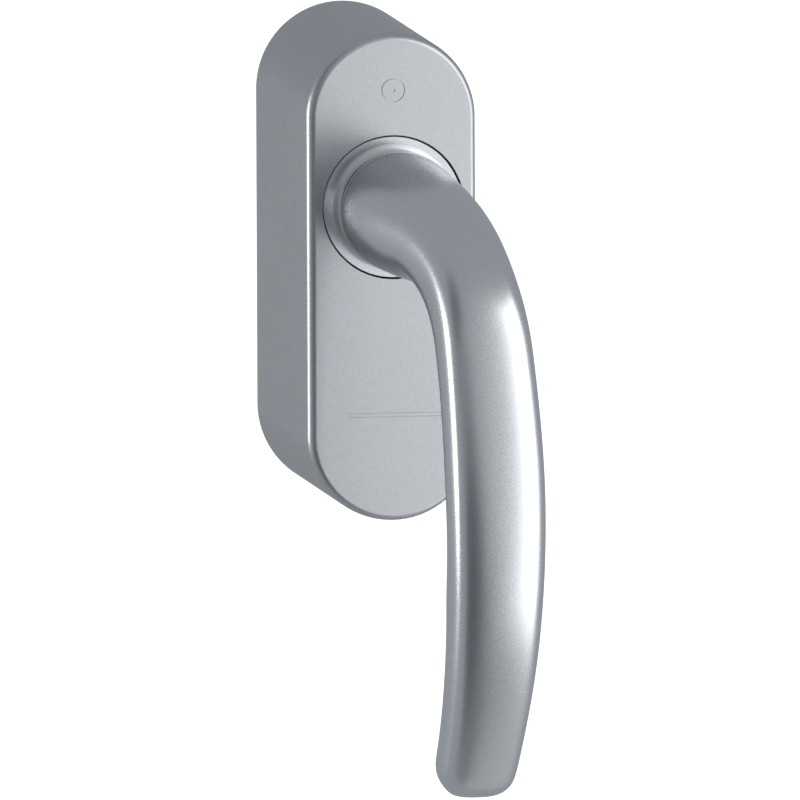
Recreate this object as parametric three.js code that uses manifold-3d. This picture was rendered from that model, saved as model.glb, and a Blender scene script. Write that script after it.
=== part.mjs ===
// Window handle for a tilt and turn window: an oval housing, a bow-shaped lever that turns in it through
// click stops, a square spindle and two screws behind, and a battery-free position sensor inside.
// Millimetres, +Z up. The origin is on the spindle's axis, in the plane of the window sash. +Y goes into
// the sash, so everything in front of it has a negative y. Depths below are given forwards from the sash.

import * as THREE from 'three';
import { LoftGeometry } from 'three/addons/geometries/LoftGeometry.js';
import { mergeVertices } from 'three/addons/utils/BufferGeometryUtils.js';
import Module from 'manifold-3d';

// ---------- driving dimensions ----------

const HOUSING = {
  radius: 19, // half the width at the sash
  top: 19.1, // centre of the upper round end
  bottom: -49.8, // centre of the lower round end
  depth: 23,
  draft: 0.47, // how much narrower each side gets towards the front
  edge: 1.5, // rounding of the front edge
  wall: 1.8,
  front: 2,
};

const LEVER = {
  rim: 25.6, // depth where the thick neck begins, just clear of the housing
  straight: 39, // depth where the neck starts to bend
  knuckle: 23.2, // bend radius of the neck
  turn: THREE.MathUtils.degToRad(75.5), // how far the knuckle bends
  bow: 155.7, // bend radius of the grip
  grip: 99.6, // length of the grip along its bow
  round: 6.2, // rounding of the tip
};

// Half width and half thickness of the lever at lengths along it. Power 2 is an ellipse, more is nearer a
// rounded rectangle.
const SECTIONS = [
  { at: 0, wide: 13.2, thick: 13.2, power: 2 },
  { at: 10, wide: 12.2, thick: 12.1, power: 2 },
  { at: 28, wide: 9.5, thick: 8.5, power: 2.6 },
  { at: 44, wide: 9.5, thick: 5.85, power: 3 },
  { at: 74, wide: 9.9, thick: 5.15, power: 3 },
  { at: 104, wide: 9.25, thick: 4.95, power: 3 },
  { at: 128, wide: 8.25, thick: 4.65, power: 3 },
  { at: 145, wide: 7.75, thick: 4.35, power: 3 },
];
const FINGER_WAVE = { at: 97, spread: 7, height: 0.8 }; // a low swell on the back of the grip

const ROOT = { radius: 11.6, back: 20.4 }; // the turned stub between the neck's rim and the bearing
const SPIGOT = { radius: 10, back: 12.3, groove: 8.8, grooveBack: 12.8, grooveFront: 13.8 };
const SPINDLE = { side: 7, behind: 30, front: 31, socket: 7.3 };
const CROSS_PIN = { radius: 1.5, length: 18, depth: 17 };

const COLLAR = {
  outer: 15.3,
  inner: 12,
  back: 20.6,
  front: 22.8,
  gap: 0.3, // between the collar and the housing's opening
  flat: 13.9, // radius where the flat ring starts to rise towards the lever's stub
  cove: 3, // radius of that hollow curve
};
const BUSH = { outer: 14.5, inner: 10.1, back: 14.7, front: 20.3 };
const RETAINER = { outer: 12, inner: 9.1, back: 12.9, front: 13.7, opening: 0.5 };
const WASHER = { outer: 12.2, inner: 10.4, back: 14, front: 14.3 };

const BASE = { depth: 2.6, play: 0.3, window: 5.8 };
const SCREW = { spread: 21.5, head: 4.6, cone: 2.7, shank: 2.3, reach: 25.4, hole: 2.7, recess: 1.5 };
const CLIP = { foot: 2.9, front: 13, wall: 0.6, toe: 13.8, leaf: 16.4, bulge: 0.35, height: 8, top: -36 };
const BOSS = { radius: 5.9, length: 8, chamfer: 0.8 };

const CLICK_HOUSING = { halfWidth: 16.5, halfHeight: 14.6, back: 7.4, front: 14.4, leg: 1.9 };
const CLICK_DISC = { radius: 9, back: 7.8, front: 10.6, notch: 1.9, notchDepth: 0.9 };
const CLICK_PIN = { radius: 1.5, tip: 9.15, length: 4.4, depth: 9.2 };
const CLICK_SPRING = { wire: 0.22, radius: 1.05, turns: 4, outer: 16.2 };

const CAM = { radius: 12.4, back: 3, front: 5.2, start: 7.2, lift: 3, slot: 1.15 };
const SLIDE = { halfWidth: 7, top: -5.9, bottom: -46, back: 5.6, front: 7, pin: 1 };
const SLIDE_MAGNET = { radius: 2, z: -40, back: 5.7, front: 7.7 };

const TONGUE = { z: -33, depth: 15.5, tip: 5.9, halfWidth: 2.5, thickness: 0.8, hub: 2, bore: 1 };
const TONGUE_PIN = { radius: 0.9, halfLength: 5.9 };
const CONVERTER = { halfWidth: 10.5, top: -38, bottom: -56, back: 10.2, front: 18.6, wall: 1 };
const CONVERTER_MAGNET = { halfWidth: 5, back: 11.5, front: 17.5, low: -42.2, high: -39.4 };
const CHIP = { halfWidth: 3.5, thickness: 1.2, low: -60.6, high: -56.6 };
const COIL = { outer: 2.9, inner: 1.9, flange: 0.5, z: -48.3, halfLength: 4.5, depth: 15.1 };

const BOARD = { halfWidth: 15, top: -28.5, shoulder: -56, bottom: -63, back: 8.4, front: 9.4, foot: 9.5 };
const BOARD_SCREW = { x: 12.5, z: -31, head: 2, shank: 1, post: 2.4 };
const CAPACITOR = { radius: 2.1, x: 12.7, z: -46, length: 6.5 };
const ON_BOARD = BOARD.front + 0.3; // depth at which parts stand on the board

const ROUND = 40; // sides of a large turned piece
const SMALL_ROUND = 20; // sides of a small one

// ---------- solids ----------

const wasm = await Module();
wasm.setup();

// A closed geometry as a solid that can be cut and joined.
function solid(geometry) {
  const bare = geometry.index ? geometry.toNonIndexed() : geometry.clone();
  bare.deleteAttribute('normal');
  if (bare.hasAttribute('uv')) bare.deleteAttribute('uv');
  const merged = mergeVertices(bare, 1e-4);
  return new wasm.Manifold(new wasm.Mesh({
    numProp: 3,
    vertProperties: merged.attributes.position.array,
    triVerts: new Uint32Array(merged.index.array),
  }));
}

// The same solid as a geometry with flat faces.
function geometryOf(made) {
  const mesh = made.getMesh();
  const geometry = new THREE.BufferGeometry();
  geometry.setAttribute('position', new THREE.BufferAttribute(new Float32Array(mesh.vertProperties), 3));
  geometry.setIndex(new THREE.BufferAttribute(new Uint32Array(mesh.triVerts), 1));
  const faceted = geometry.toNonIndexed();
  faceted.computeVertexNormals();
  return faceted;
}

function without(body, ...cutters) {
  return geometryOf(cutters.reduce((left, cutter) => left.subtract(solid(cutter)), solid(body)));
}

function joined(body, ...others) {
  return geometryOf(others.reduce((sum, other) => sum.add(solid(other)), solid(body)));
}

// An outline drawn as seen from the front, given thickness between two depths.
function slab(shape, back, front, curveSegments = 12) {
  const settings = { depth: front - back, bevelEnabled: false, curveSegments };
  const geometry = new THREE.ExtrudeGeometry(shape, settings);
  return geometry.translate(0, 0, back).rotateX(Math.PI / 2);
}

// A box by its x, depth and z limits.
function block(left, right, back, front, low, high) {
  const geometry = new THREE.BoxGeometry(right - left, front - back, high - low);
  return geometry.translate((left + right) / 2, -(back + front) / 2, (low + high) / 2);
}

// A cylinder that points at the window, centred on x and z.
function post(radius, back, front, x = 0, z = 0, sides = SMALL_ROUND) {
  return new THREE.CylinderGeometry(radius, radius, front - back, sides).translate(x, -(back + front) / 2, z);
}

// A cylinder that lies across the window, centred on x = 0.
function crossBar(radius, halfLength, depth, z, sides = SMALL_ROUND) {
  return new THREE.CylinderGeometry(radius, radius, 2 * halfLength, sides)
    .rotateZ(Math.PI / 2)
    .translate(0, -depth, z);
}

// A turned piece about the spindle's axis, from [radius, depth] pairs that run from back to front outside.
function turned(profile, x = 0, z = 0, sides = ROUND) {
  const points = profile.map(([radius, depth]) => new THREE.Vector2(radius, depth));
  return new THREE.LatheGeometry(points, sides).rotateX(Math.PI).translate(x, 0, z);
}

function washer(outer, inner, back, front) {
  return turned([[inner, back], [outer, back], [outer, front], [inner, front], [inner, back]]);
}

// ---------- housing ----------

// The housing's outline, grown or shrunk to a radius, at one depth: two half circles and two straights.
function ovalRing(radius, depth, arcSteps = 18) {
  const ring = [];
  for (const [centre, start] of [[HOUSING.top, 0], [HOUSING.bottom, Math.PI]]) {
    for (let i = 0; i <= arcSteps; i += 1) {
      const angle = start + Math.PI * i / arcSteps;
      ring.push(new THREE.Vector3(radius * Math.cos(angle), -depth, centre + radius * Math.sin(angle)));
    }
  }
  return ring;
}

// A solid whose oval outline follows [radius, depth] pairs from the back to the front.
function ovalSolid(profile) {
  const rings = profile.map(([radius, depth]) => ovalRing(radius, depth));
  return new LoftGeometry(rings, { capStart: true, capEnd: true });
}

function roseCover() {
  const { radius, depth, draft, edge, wall, front } = HOUSING;
  const edgeStart = radius - draft;
  const outside = [[radius, 0], [edgeStart, depth - edge]];
  for (let i = 1; i <= 4; i += 1) {
    const angle = Math.PI / 2 * i / 4;
    outside.push([edgeStart - edge * (1 - Math.cos(angle)), depth - edge * (1 - Math.sin(angle))]);
  }
  const inside = [[radius - wall, -1], [edgeStart - wall, depth - front]];
  const opening = post(COLLAR.outer + COLLAR.gap, 0, depth + 1, 0, 0, ROUND);
  return without(ovalSolid(outside), ovalSolid(inside), opening);
}

function basePlate() {
  const inner = HOUSING.radius - HOUSING.wall - BASE.play;
  let plate = solid(ovalSolid([[inner, 0], [inner - 0.05, BASE.depth]]));
  for (const side of [1, -1]) {
    const z = side * SCREW.spread;
    const boss = turned([
      [0, -BOSS.length], [BOSS.radius - BOSS.chamfer, -BOSS.length],
      [BOSS.radius, BOSS.chamfer - BOSS.length], [BOSS.radius, 0.5], [0, 0.5],
    ], 0, z, SMALL_ROUND);
    const sink = turned([
      [0, -BOSS.length - 1], [SCREW.hole, -BOSS.length - 1], [SCREW.hole, BASE.depth - SCREW.cone - 0.2],
      [SCREW.head + 0.4, BASE.depth - 0.6], [SCREW.head + 0.4, BASE.depth + 1], [0, BASE.depth + 1],
    ], 0, z, SMALL_ROUND);
    plate = plate.add(solid(boss)).subtract(solid(sink));
    const rail = block(side > 0 ? 7.4 : -9, side > 0 ? 9 : -7.4, BASE.depth - 0.5, SLIDE.front, -45, -36);
    const [standX, standZ] = [side * BOARD_SCREW.x, BOARD_SCREW.z];
    const stand = post(BOARD_SCREW.post, BASE.depth - 0.5, BOARD.back - 0.3, standX, standZ);
    plate = plate.add(solid(rail)).add(solid(stand));
    const tapped = post(BOARD_SCREW.shank + 0.3, BASE.depth + 0.4, BOARD.back, standX, standZ);
    plate = plate.subtract(solid(tapped));
  }
  return geometryOf(plate.subtract(solid(post(BASE.window, -1, BASE.depth + 1, 0, 0, ROUND))));
}

function coverClip(side) {
  const { foot, front, wall, toe, leaf, bulge } = CLIP;
  const outside = [
    [toe, foot], [leaf, foot], [leaf, front - 4], [leaf + bulge, front - 2.6], [leaf - 0.2, front],
  ];
  const inside = outside.map(([x, depth]) => [x - wall, depth]).reverse();
  inside.splice(-2, 2, [leaf - wall, foot + wall], [toe, foot + wall]);
  const outline = new THREE.Shape([...outside, ...inside].map(([x, depth]) => new THREE.Vector2(x, depth)));
  const clip = new THREE.ExtrudeGeometry(outline, { depth: CLIP.height, bevelEnabled: false });
  clip.rotateX(Math.PI).translate(0, 0, CLIP.top);
  return side > 0 ? clip : clip.rotateY(Math.PI).translate(0, 0, 2 * CLIP.top - CLIP.height);
}

// The ring that fills the housing's opening. It rises in a hollow curve and hides the lever's stub.
function collarRing() {
  const { outer, inner, back, front, flat, cove } = COLLAR;
  const profile = [[inner, back], [outer, back], [outer, front]];
  const steps = 4;
  const end = Math.asin((flat - inner) / cove);
  for (let i = 0; i <= steps; i += 1) {
    const angle = end * i / steps;
    profile.push([flat - cove * Math.sin(angle), front + cove * (1 - Math.cos(angle))]);
  }
  profile.push([inner, back]);
  return turned(profile);
}

// ---------- lever ----------

// Place and direction of the lever's middle line, a length along it from the neck's rim.
function spineAt(length) {
  const { rim, straight, knuckle, turn, bow } = LEVER;
  const straightLength = straight - rim;
  if (length < straightLength) return { depth: rim + length, z: 0, lean: 0 };
  const lean = Math.min((length - straightLength) / knuckle, turn);
  const bent = { depth: straight + knuckle * Math.sin(lean), z: -knuckle * (1 - Math.cos(lean)), lean };
  const along = length - straightLength - knuckle * turn;
  if (along <= 0) return bent;
  const leanThere = turn + along / bow;
  return {
    depth: bent.depth + bow * (Math.sin(leanThere) - Math.sin(turn)),
    z: bent.z - bow * (Math.cos(turn) - Math.cos(leanThere)),
    lean: leanThere,
  };
}

const LEVER_LENGTH = LEVER.straight - LEVER.rim + LEVER.knuckle * LEVER.turn + LEVER.grip;

// A width between the listed sections, on a smooth curve through all of them.
function sectionAt(key, length) {
  const last = SECTIONS.length - 1;
  const past = SECTIONS.findIndex((section) => section.at >= length);
  const next = Math.max(1, past < 0 ? last : past);
  const slope = (i) => {
    const [before, after] = [SECTIONS[Math.max(0, i - 1)], SECTIONS[Math.min(last, i + 1)]];
    return (after[key] - before[key]) / (after.at - before.at);
  };
  const [a, b] = [SECTIONS[next - 1], SECTIONS[next]];
  const span = b.at - a.at;
  const t = (length - a.at) / span;
  return a[key] * (1 + 2 * t) * (1 - t) ** 2 + b[key] * (3 - 2 * t) * t ** 2
    + span * (slope(next - 1) * t * (1 - t) ** 2 - slope(next) * (1 - t) * t ** 2);
}

function leverRing(length, sides) {
  const fromTip = Math.min(1, (LEVER_LENGTH - length) / LEVER.round);
  const rounding = Math.sqrt(Math.max(0, 1 - (1 - fromTip) ** 2));
  const wide = sectionAt('wide', length) - LEVER.round * (1 - rounding);
  const thick = sectionAt('thick', length) * Math.max(rounding, 0.15);
  const power = sectionAt('power', length);
  const wave = FINGER_WAVE.height * Math.exp(-(((length - FINGER_WAVE.at) / FINGER_WAVE.spread) ** 2));
  const { depth, z, lean } = spineAt(length);
  const ring = [];
  for (let i = 0; i < sides; i += 1) {
    const angle = 2 * Math.PI * i / sides;
    const across = wide * Math.sign(Math.cos(angle)) * Math.abs(Math.cos(angle)) ** (2 / power);
    let out = thick * Math.sign(Math.sin(angle)) * Math.abs(Math.sin(angle)) ** (2 / power);
    if (out < 0) out *= 1 + wave / thick;
    ring.push(new THREE.Vector3(across, -(depth + out * Math.sin(lean)), z + out * Math.cos(lean)));
  }
  return ring;
}

function leverHandle() {
  const sides = 28;
  const rings = [];
  const steps = 32;
  for (let i = 0; i <= steps; i += 1) rings.push(leverRing((LEVER_LENGTH - LEVER.round) * i / steps, sides));
  for (const share of [0.4, 0.7, 0.88, 0.97, 1]) {
    rings.push(leverRing(LEVER_LENGTH - LEVER.round * (1 - share), sides));
  }
  const blade = new LoftGeometry(rings, { capStart: true, capEnd: true });
  const stub = turned([
    [0, SPIGOT.back], [SPIGOT.radius, SPIGOT.back], [SPIGOT.radius, SPIGOT.grooveBack],
    [SPIGOT.groove, SPIGOT.grooveBack], [SPIGOT.groove, SPIGOT.grooveFront],
    [SPIGOT.radius, SPIGOT.grooveFront], [SPIGOT.radius, ROOT.back], [ROOT.radius, ROOT.back],
    [ROOT.radius, LEVER.rim + 1], [0, LEVER.rim + 1],
  ]);
  const half = SPINDLE.socket / 2;
  const socket = block(-half, half, 0, SPINDLE.front + 0.5, -half, half);
  const pinHole = crossBar(CROSS_PIN.radius + 0.15, SPIGOT.radius + 1, CROSS_PIN.depth, 0);
  return without(joined(blade, stub), socket, pinHole);
}

function squareSpindle() {
  const half = SPINDLE.side / 2;
  const bar = block(-half, half, -SPINDLE.behind, SPINDLE.front, -half, half);
  return without(bar, crossBar(CROSS_PIN.radius + 0.15, half + 1, CROSS_PIN.depth, 0));
}

// ---------- bearing and click stops ----------

function retainingRing() {
  const { outer, inner, back, front, opening } = RETAINER;
  const gap = block(-opening * 4, opening * 4, back - 1, front + 1, 0, outer + 1);
  return without(washer(outer, inner, back, front), gap);
}

function clickHousing() {
  const { halfWidth, halfHeight, back, front, leg } = CLICK_HOUSING;
  let body = solid(block(-halfWidth, halfWidth, back, front, -halfHeight, halfHeight));
  for (const [sideX, sideZ] of [[1, 1], [1, -1], [-1, 1], [-1, -1]]) {
    const [x, z] = [sideX * (halfWidth - leg), sideZ * (halfHeight - leg)];
    const foot = block(x - leg, x + leg, BASE.depth + 0.3, back + 1, z - leg, z + leg);
    body = body.add(solid(foot));
  }
  const cuts = [
    post(CLICK_DISC.radius + 1.3, back - 1, CLICK_DISC.front + 0.3, 0, 0, ROUND),
    post(7.2, back, front, 0, 0, ROUND),
    post(RETAINER.outer + 0.7, RETAINER.back - 0.8, front + 1, 0, 0, ROUND),
  ];
  for (const side of [1, -1]) {
    cuts.push(new THREE.CylinderGeometry(CLICK_PIN.radius + 0.12, CLICK_PIN.radius + 0.12, 7.3, SMALL_ROUND)
      .rotateZ(Math.PI / 2).translate(side * 12.65, -CLICK_PIN.depth, 0));
  }
  return geometryOf(cuts.reduce((left, cutter) => left.subtract(solid(cutter)), body));
}

function notchedDisc() {
  const { radius, back, front, notch, notchDepth } = CLICK_DISC;
  const half = SPINDLE.socket / 2;
  const socket = block(-half, half, 0, 20, -half, half);
  let disc = solid(post(radius, back, front, 0, 0, ROUND)).subtract(solid(socket));
  for (let quarter = 0; quarter < 4; quarter += 1) {
    const angle = quarter * Math.PI / 2;
    const reach = radius + notch - notchDepth;
    disc = disc.subtract(solid(post(notch, 0, 20, reach * Math.cos(angle), reach * Math.sin(angle))));
  }
  return geometryOf(disc);
}

// A click pin with a round nose that points at the disc.
function clickPin(side) {
  const { radius, tip, length, depth } = CLICK_PIN;
  const profile = [[0, 0]];
  for (let i = 1; i <= 5; i += 1) {
    const angle = Math.PI / 2 * i / 5;
    profile.push([radius * Math.sin(angle), radius * (1 - Math.cos(angle))]);
  }
  profile.push([radius, length - 1.4], [0.6, length - 1.4], [0.6, length], [0, length]);
  const points = profile.map(([r, along]) => new THREE.Vector2(r, along));
  const pin = new THREE.LatheGeometry(points, SMALL_ROUND).translate(0, tip, 0);
  return pin.rotateX(Math.PI).rotateZ(side * Math.PI / 2).translate(0, -depth, 0);
}

// A coil of wire behind a click pin, along x.
function clickSpring(side) {
  const { wire, radius, turns, outer } = CLICK_SPRING;
  const inner = CLICK_PIN.tip + CLICK_PIN.length - 1.4 + wire + 0.15;
  const points = [];
  const perTurn = 10;
  for (let i = 0; i <= turns * perTurn; i += 1) {
    const angle = 2 * Math.PI * i / perTurn;
    const x = THREE.MathUtils.lerp(inner, outer - wire, i / (turns * perTurn));
    const y = radius * Math.cos(angle) - CLICK_PIN.depth;
    points.push(new THREE.Vector3(side * x, y, radius * Math.sin(angle)));
  }
  const path = new THREE.CatmullRomCurve3(points);
  const section = new THREE.Shape().absarc(0, 0, wire, 0, 2 * Math.PI);
  return new THREE.ExtrudeGeometry(section, { steps: turns * perTurn, extrudePath: path, curveSegments: 3 });
}

// ---------- position sensor ----------

// The cam's slot is a spiral, so the slide moves in step with the handle.
function codingCam() {
  const { radius, back, front, start, lift, slot } = CAM;
  const outline = new THREE.Shape().absarc(0, 0, radius, 0, 2 * Math.PI);
  const edge = (offset, turn) => {
    const r = start + lift * turn / Math.PI + offset;
    return new THREE.Vector2(r * Math.sin(turn), -r * Math.cos(turn));
  };
  const over = 0.16; // the slot runs on past both ends by this angle
  const steps = 22;
  const slotPoints = [];
  for (let i = 0; i <= steps; i += 1) slotPoints.push(edge(slot, -over + (Math.PI + 2 * over) * i / steps));
  for (let i = steps; i >= 0; i -= 1) slotPoints.push(edge(-slot, -over + (Math.PI + 2 * over) * i / steps));
  outline.holes.push(new THREE.Path(slotPoints));
  const half = SPINDLE.socket / 2;
  const square = [[-half, -half], [-half, half], [half, half], [half, -half]];
  outline.holes.push(new THREE.Path(square.map(([x, z]) => new THREE.Vector2(x, z))));
  return slab(outline, back, front, ROUND / 2);
}

function rectanglePath(halfWidth, low, high) {
  const corners = [[-halfWidth, low], [-halfWidth, high], [halfWidth, high], [halfWidth, low]];
  return corners.map(([x, z]) => new THREE.Vector2(x, z));
}

function codingSlide() {
  const { halfWidth, top, bottom, back, front, pin } = SLIDE;
  const outline = new THREE.Shape([
    [-halfWidth, bottom], [halfWidth, bottom], [halfWidth, -12], [3, top], [-3, top], [-halfWidth, -12],
  ].map(([x, z]) => new THREE.Vector2(x, z)));
  outline.holes.push(new THREE.Path(rectanglePath(4.8, -29.5, -14)));
  outline.holes.push(new THREE.Path(rectanglePath(TONGUE.halfWidth + 0.4, TONGUE.z - 1.3, TONGUE.z + 1.3)));
  const seat = new THREE.Path().absarc(0, SLIDE_MAGNET.z, SLIDE_MAGNET.radius + 0.2, 0, 2 * Math.PI, true);
  outline.holes.push(seat);
  return joined(slab(outline, back, front), post(pin, CAM.back + 0.2, back + 0.5, 0, -CAM.start));
}

function positionMagnet() {
  return post(SLIDE_MAGNET.radius, SLIDE_MAGNET.back, SLIDE_MAGNET.front, 0, SLIDE_MAGNET.z);
}

function converterTongue() {
  const { z, depth, tip, halfWidth, thickness, hub, bore } = TONGUE;
  const blade = block(-halfWidth, halfWidth, tip, depth, z - thickness / 2, z + thickness / 2);
  return without(joined(blade, crossBar(hub, 3.6, depth, z)), crossBar(bore, 5, depth, z));
}

function converterCase() {
  const { halfWidth, top, bottom, back, front, wall } = CONVERTER;
  let tray = solid(block(-halfWidth, halfWidth, back, front, bottom, top));
  const room = block(wall - halfWidth, halfWidth - wall, back + wall, front + 1, bottom + wall, top - wall);
  tray = tray.subtract(solid(room));
  for (const side of [1, -1]) {
    const [left, right] = side > 0 ? [4.2, 5.6] : [-5.6, -4.2];
    const cheek = block(left, right, TONGUE.depth - 2.2, TONGUE.depth + 2.2, top - 0.5, TONGUE.z + 2.2);
    tray = tray.add(solid(cheek));
  }
  return geometryOf(tray.subtract(solid(crossBar(TONGUE_PIN.radius + 0.12, 8, TONGUE.depth, TONGUE.z))));
}

function converterCoil() {
  const { outer, inner, flange, z, halfLength, depth } = COIL;
  const [rim, step] = [outer + flange, halfLength - 0.7];
  const profile = [
    [inner, -halfLength], [rim, -halfLength], [rim, -step], [outer, -step], [outer, step], [rim, step],
    [rim, halfLength], [inner, halfLength], [inner, -halfLength],
  ].map(([r, along]) => new THREE.Vector2(r, along));
  return new THREE.LatheGeometry(profile, 24).rotateX(Math.PI / 2).translate(0, -depth, z);
}

// An E-shaped stack: the middle limb runs through the coil, the outer ones beside it.
function converterCore() {
  const limb = (left, right) => block(left, right, COIL.depth - 1.2, COIL.depth + 1.2, -53.9, -43);
  const yoke = block(-7.6, 7.6, COIL.depth - 1.2, COIL.depth + 1.2, -54.7, -53.5);
  return joined(yoke, limb(-1.2, 1.2), limb(-7.6, -5.2), limb(5.2, 7.6));
}

function converterMagnet() {
  const { halfWidth, back, front, low, high } = CONVERTER_MAGNET;
  return block(-halfWidth, halfWidth, back, front, low, high);
}

function radioChip() {
  const { halfWidth, thickness, low, high } = CHIP;
  return block(-halfWidth, halfWidth, ON_BOARD, ON_BOARD + thickness, low, high);
}

function capacitor(side) {
  const { radius, x, z, length } = CAPACITOR;
  return post(radius, ON_BOARD, ON_BOARD + length, side * x, z);
}

function circuitBoard() {
  const { halfWidth, top, shoulder, bottom, back, front, foot } = BOARD;
  const outline = new THREE.Shape([
    [-foot, bottom], [foot, bottom], [halfWidth - 1.5, shoulder], [halfWidth, shoulder + 4], [halfWidth, top],
    [3.6, top], [3.6, -37], [-3.6, -37], [-3.6, top], [-halfWidth, top], [-halfWidth, shoulder + 4],
    [1.5 - halfWidth, shoulder],
  ].map(([x, z]) => new THREE.Vector2(x, z)));
  for (const side of [1, -1]) {
    const [x, z] = [side * BOARD_SCREW.x, BOARD_SCREW.z];
    outline.holes.push(new THREE.Path().absarc(x, z, BOARD_SCREW.shank + 0.3, 0, 2 * Math.PI, true));
  }
  return slab(outline, back, front, 8);
}

// A flat strip that bends along the housing's lower end, standing on the board by a foot.
function antenna() {
  const [outer, inner] = [15.3, 14.7];
  const strip = new THREE.Shape().absarc(0, HOUSING.bottom, outer, 1.22 * Math.PI, 1.78 * Math.PI);
  strip.absarc(0, HOUSING.bottom, inner, 1.78 * Math.PI, 1.22 * Math.PI, true);
  const foot = block(-1, 1, BOARD.front + 0.3, BOARD.front + 0.9, HOUSING.bottom - 15, -61);
  return joined(slab(strip, BOARD.front + 0.3, 15.5, 16), foot);
}

// ---------- screws ----------

function fixingScrew(z) {
  const { head, cone, shank, reach, recess } = SCREW;
  const top = BASE.depth - 0.1;
  const body = turned([
    [0, -reach], [shank * 0.55, -reach], [shank, 1.6 - reach], [shank, top - cone], [head, top - 0.35],
    [head, top], [0, top],
  ], 0, z, SMALL_ROUND);
  const arms = [[0.45, recess], [recess, 0.45]];
  const slots = arms.map(([x, half]) => block(-x, x, top - 1.6, top + 1, z - half, z + half));
  return without(body, ...slots);
}

function boardScrew(side) {
  const { x, z, head, shank } = BOARD_SCREW;
  const top = BOARD.front + 1.6;
  return turned([
    [0, BASE.depth + 1], [shank, BASE.depth + 1], [shank, BOARD.front + 0.3], [head, BOARD.front + 0.3],
    [head, top - 0.5], [head * 0.6, top], [0, top],
  ], side * x, z, 16);
}

// ---------- the assembly ----------

const FINISHES = {
  satinAluminium: { color: 0xa9adb2, roughness: 0.36, metalness: 1 },
  zincCasting: { color: 0x8d9094, roughness: 0.5, metalness: 1 },
  zincedSteel: { color: 0xb9bcc0, roughness: 0.3, metalness: 1 },
  springSteel: { color: 0x9a9da0, roughness: 0.28, metalness: 1 },
  bearingPlastic: { color: 0xd9d8d2, roughness: 0.5, metalness: 0 },
  blackPlastic: { color: 0x222326, roughness: 0.45, metalness: 0 },
  boardGreen: { color: 0x1f5a38, roughness: 0.4, metalness: 0 },
  chipBlack: { color: 0x17181a, roughness: 0.35, metalness: 0 },
  copper: { color: 0xb56a3c, roughness: 0.35, metalness: 1 },
  magnet: { color: 0x6c6f73, roughness: 0.3, metalness: 1 },
};

function group(...pieces) {
  const made = new THREE.Group();
  for (const [name, geometry, finish] of pieces) {
    const piece = new THREE.Mesh(geometry, new THREE.MeshStandardMaterial(FINISHES[finish]));
    piece.name = name;
    made.add(piece);
  }
  return made;
}


const handle = new THREE.Group();
handle.add(
  group(
    ['rose_cover', roseCover(), 'satinAluminium'],
    ['base_plate', basePlate(), 'zincCasting'],
    ['collar_ring', collarRing(), 'satinAluminium'],
    ['guide_bush', washer(BUSH.outer, BUSH.inner, BUSH.back, BUSH.front), 'bearingPlastic'],
    ['click_housing', clickHousing(), 'zincCasting'],
    ['cover_clip_left', coverClip(-1), 'springSteel'],
    ['cover_clip_right', coverClip(1), 'springSteel'],
    ['fixing_screw_upper', fixingScrew(SCREW.spread), 'zincedSteel'],
    ['fixing_screw_lower', fixingScrew(-SCREW.spread), 'zincedSteel'],
  ),
  group(
    ['lever_handle', leverHandle(), 'satinAluminium'],
    ['square_spindle', squareSpindle(), 'zincedSteel'],
    ['spindle_pin', crossBar(CROSS_PIN.radius, CROSS_PIN.length / 2, CROSS_PIN.depth, 0), 'springSteel'],
    ['retaining_ring', retainingRing(), 'springSteel'],
    ['friction_washer', washer(WASHER.outer, WASHER.inner, WASHER.back, WASHER.front), 'bearingPlastic'],
    ['click_disc', notchedDisc(), 'springSteel'],
    ['coding_cam', codingCam(), 'blackPlastic'],
  ),
  group(
    ['click_pin_left', clickPin(-1), 'springSteel'],
    ['click_pin_right', clickPin(1), 'springSteel'],
    ['click_spring_left', clickSpring(-1), 'springSteel'],
    ['click_spring_right', clickSpring(1), 'springSteel'],
  ),
  group(
    ['coding_slide', codingSlide(), 'bearingPlastic'],
    ['position_magnet', positionMagnet(), 'magnet'],
    ['converter_tongue', converterTongue(), 'springSteel'],
    ['tongue_pin', crossBar(TONGUE_PIN.radius, TONGUE_PIN.halfLength, TONGUE.depth, TONGUE.z), 'springSteel'],
    ['converter_case', converterCase(), 'blackPlastic'],
    ['converter_coil', converterCoil(), 'copper'],
    ['converter_core', converterCore(), 'springSteel'],
    ['converter_magnet', converterMagnet(), 'magnet'],
  ),
  group(
    ['circuit_board', circuitBoard(), 'boardGreen'],
    ['radio_chip', radioChip(), 'chipBlack'],
    ['capacitor_left', capacitor(-1), 'blackPlastic'],
    ['capacitor_right', capacitor(1), 'blackPlastic'],
    ['board_screw_left', boardScrew(-1), 'zincedSteel'],
    ['board_screw_right', boardScrew(1), 'zincedSteel'],
    ['antenna', antenna(), 'copper'],
  ),
);

export default handle;
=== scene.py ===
# %% [markdown]
# # A tilt and turn window handle
# The handle has an oval aluminium housing that lies on the window sash, and a bow-shaped lever that
# turns in it. Behind the housing a square spindle drives the window gear and two screws hold it all.
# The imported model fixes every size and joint. This script gives the pieces their final surfaces,
# materials, light and camera, all in metres and in the frame's own coordinates.

# %% Load the frame
import math

import bmesh
import bpy
from mathutils import Matrix, Vector


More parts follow.
